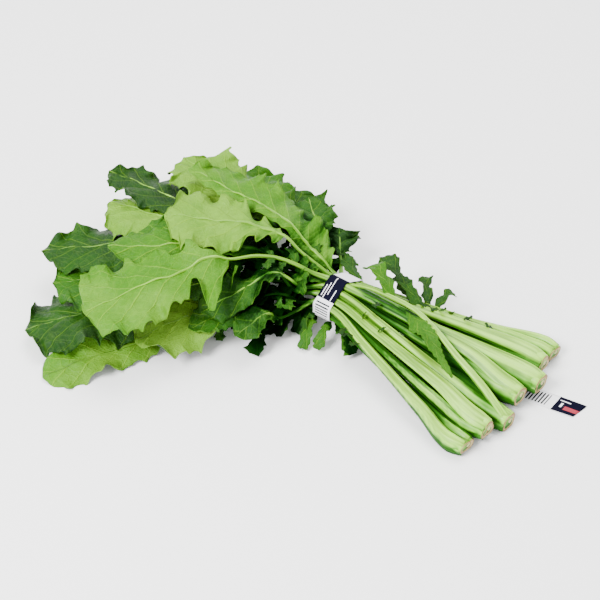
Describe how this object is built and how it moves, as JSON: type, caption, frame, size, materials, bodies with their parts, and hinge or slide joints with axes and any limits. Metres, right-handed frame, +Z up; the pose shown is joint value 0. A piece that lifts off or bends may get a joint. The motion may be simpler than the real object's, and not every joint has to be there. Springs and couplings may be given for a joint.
{
  "type": "bunch of turnip greens",
  "caption": "Bunch of leafy turnip greens lying on its side, with cut crowns, long pale stalks and lobed blades, held by a flat paper tie with a loose tail.",
  "frame": {"origin": "middle of the base of the bunch's box, on the surface that it lies on", "axes": "+X along the bunch from the leaf tips to the cut crowns, -Y to the viewer's side, +Z up"},
  "size_m": [0.5234, 0.3344, 0.0917],
  "materials": {
    "leaf": "satin leaf, darker above and paler below",
    "stalk": "moist pale green stalk with fine grooves",
    "crown_cut": "dry cut face, tan",
    "tie_paper": "coated paper with plain printed stripes"
  },
  "bodies": {
    "root": {"plant_G": "leaf", "plant_F": "leaf", "plant_E": "leaf", "plant_D": "leaf", "plant_C": "leaf", "plant_B": "leaf", "plant_A": "leaf", "tie": "tie_paper"}
  },
  "joints": []
}
